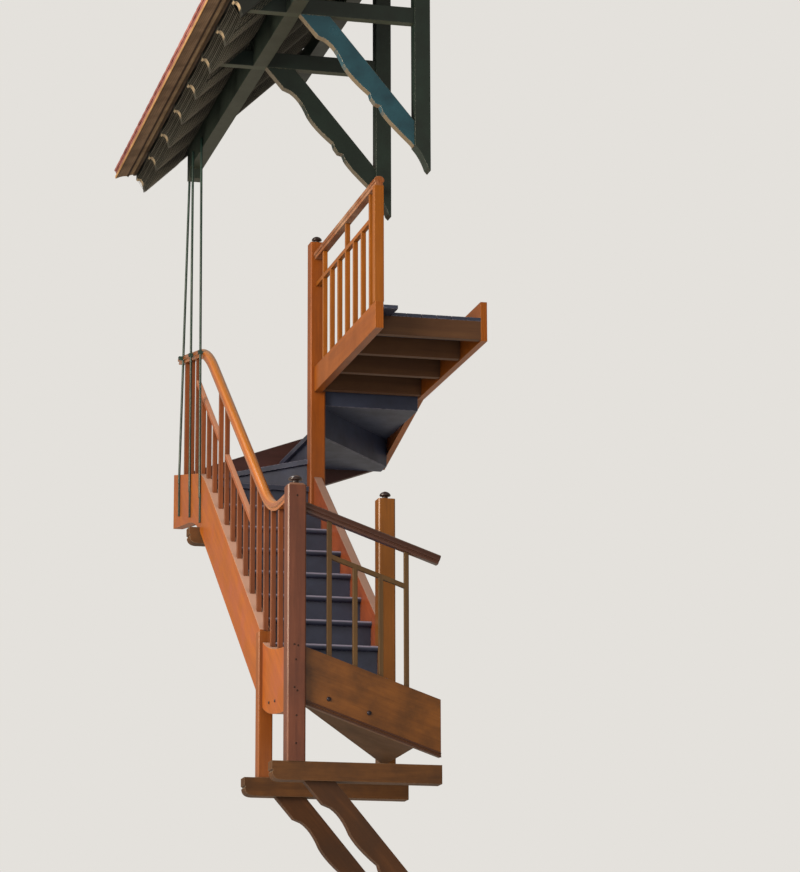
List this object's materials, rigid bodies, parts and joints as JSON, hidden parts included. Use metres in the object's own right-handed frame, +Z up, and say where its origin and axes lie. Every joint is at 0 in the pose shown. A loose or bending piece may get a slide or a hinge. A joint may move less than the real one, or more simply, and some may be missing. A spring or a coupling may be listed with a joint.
{
  "type": "timber escape stair",
  "caption": "Wall-hung timber escape stair: beams with cusped braces, a turn of winders, straight flight, half-turn to a guarded landing, and a tiled canopy over it.",
  "frame": {"origin": "centre of the wall end of the front cantilever beam, on the wall face", "axes": "+X into the wall, +Y along the wall in the direction of climb, +Z up"},
  "size_m": [1.9536, 3.779, 6.6659],
  "materials": {
    "oiled_beam": "weathered oiled softwood",
    "stained_softwood": "stained and varnished softwood",
    "varnished_handrail": "gloss varnished hardwood",
    "slate_floor_paint": "slate blue floor paint, worn at the nosings",
    "dark_green_paint": "dark green gloss paint on timber",
    "painted_iron_rod": "dark green paint on iron",
    "dark_boarding": "dark stained boarding",
    "weathered_eaves": "bare weathered timber",
    "clay_tile": "plain clay tile"
  },
  "bodies": {
    "root": {"front_beam": "oiled_beam", "rear_beam": "oiled_beam", "upper_beam": "oiled_beam", "knee_braces": "oiled_beam", "front_newel": "stained_softwood", "rear_post": "stained_softwood", "inner_newel": "stained_softwood", "tall_newel": "stained_softwood", "outer_string": "stained_softwood", "lower_string": "stained_softwood", "front_string": "stained_softwood", "inner_string": "stained_softwood", "back_string": "stained_softwood", "wall_string": "stained_softwood", "landing_string": "stained_softwood", "threshold_board": "slate_floor_paint", "lower_winder_treads": "slate_floor_paint", "lower_winder_risers": "slate_floor_paint", "winder_soffit": "stained_softwood", "straight_treads": "slate_floor_paint", "straight_risers": "slate_floor_paint", "upper_winder_treads": "slate_floor_paint", "upper_winder_risers": "slate_floor_paint", "landing_boards": "slate_floor_paint", "landing_joists": "stained_softwood", "outer_handrail": "varnished_handrail", "outer_balusters": "stained_softwood", "outer_mid_rails": "stained_softwood", "front_handrail": "varnished_handrail", "front_bars": "stained_softwood", "landing_handrail": "varnished_handrail", "landing_balusters": "stained_softwood", "landing_mid_rail": "stained_softwood", "hanger_rods": "painted_iron_rod", "wall_posts": "dark_green_paint", "canopy_arms": "dark_green_paint", "front_brace": "dark_green_paint", "rear_brace": "dark_green_paint", "eaves_plate": "dark_green_paint", "wall_plate": "dark_green_paint", "rafters": "dark_green_paint", "roof_boards": "dark_boarding", "eaves_board": "weathered_eaves", "roof_tiles": "clay_tile"}
  },
  "joints": []
}
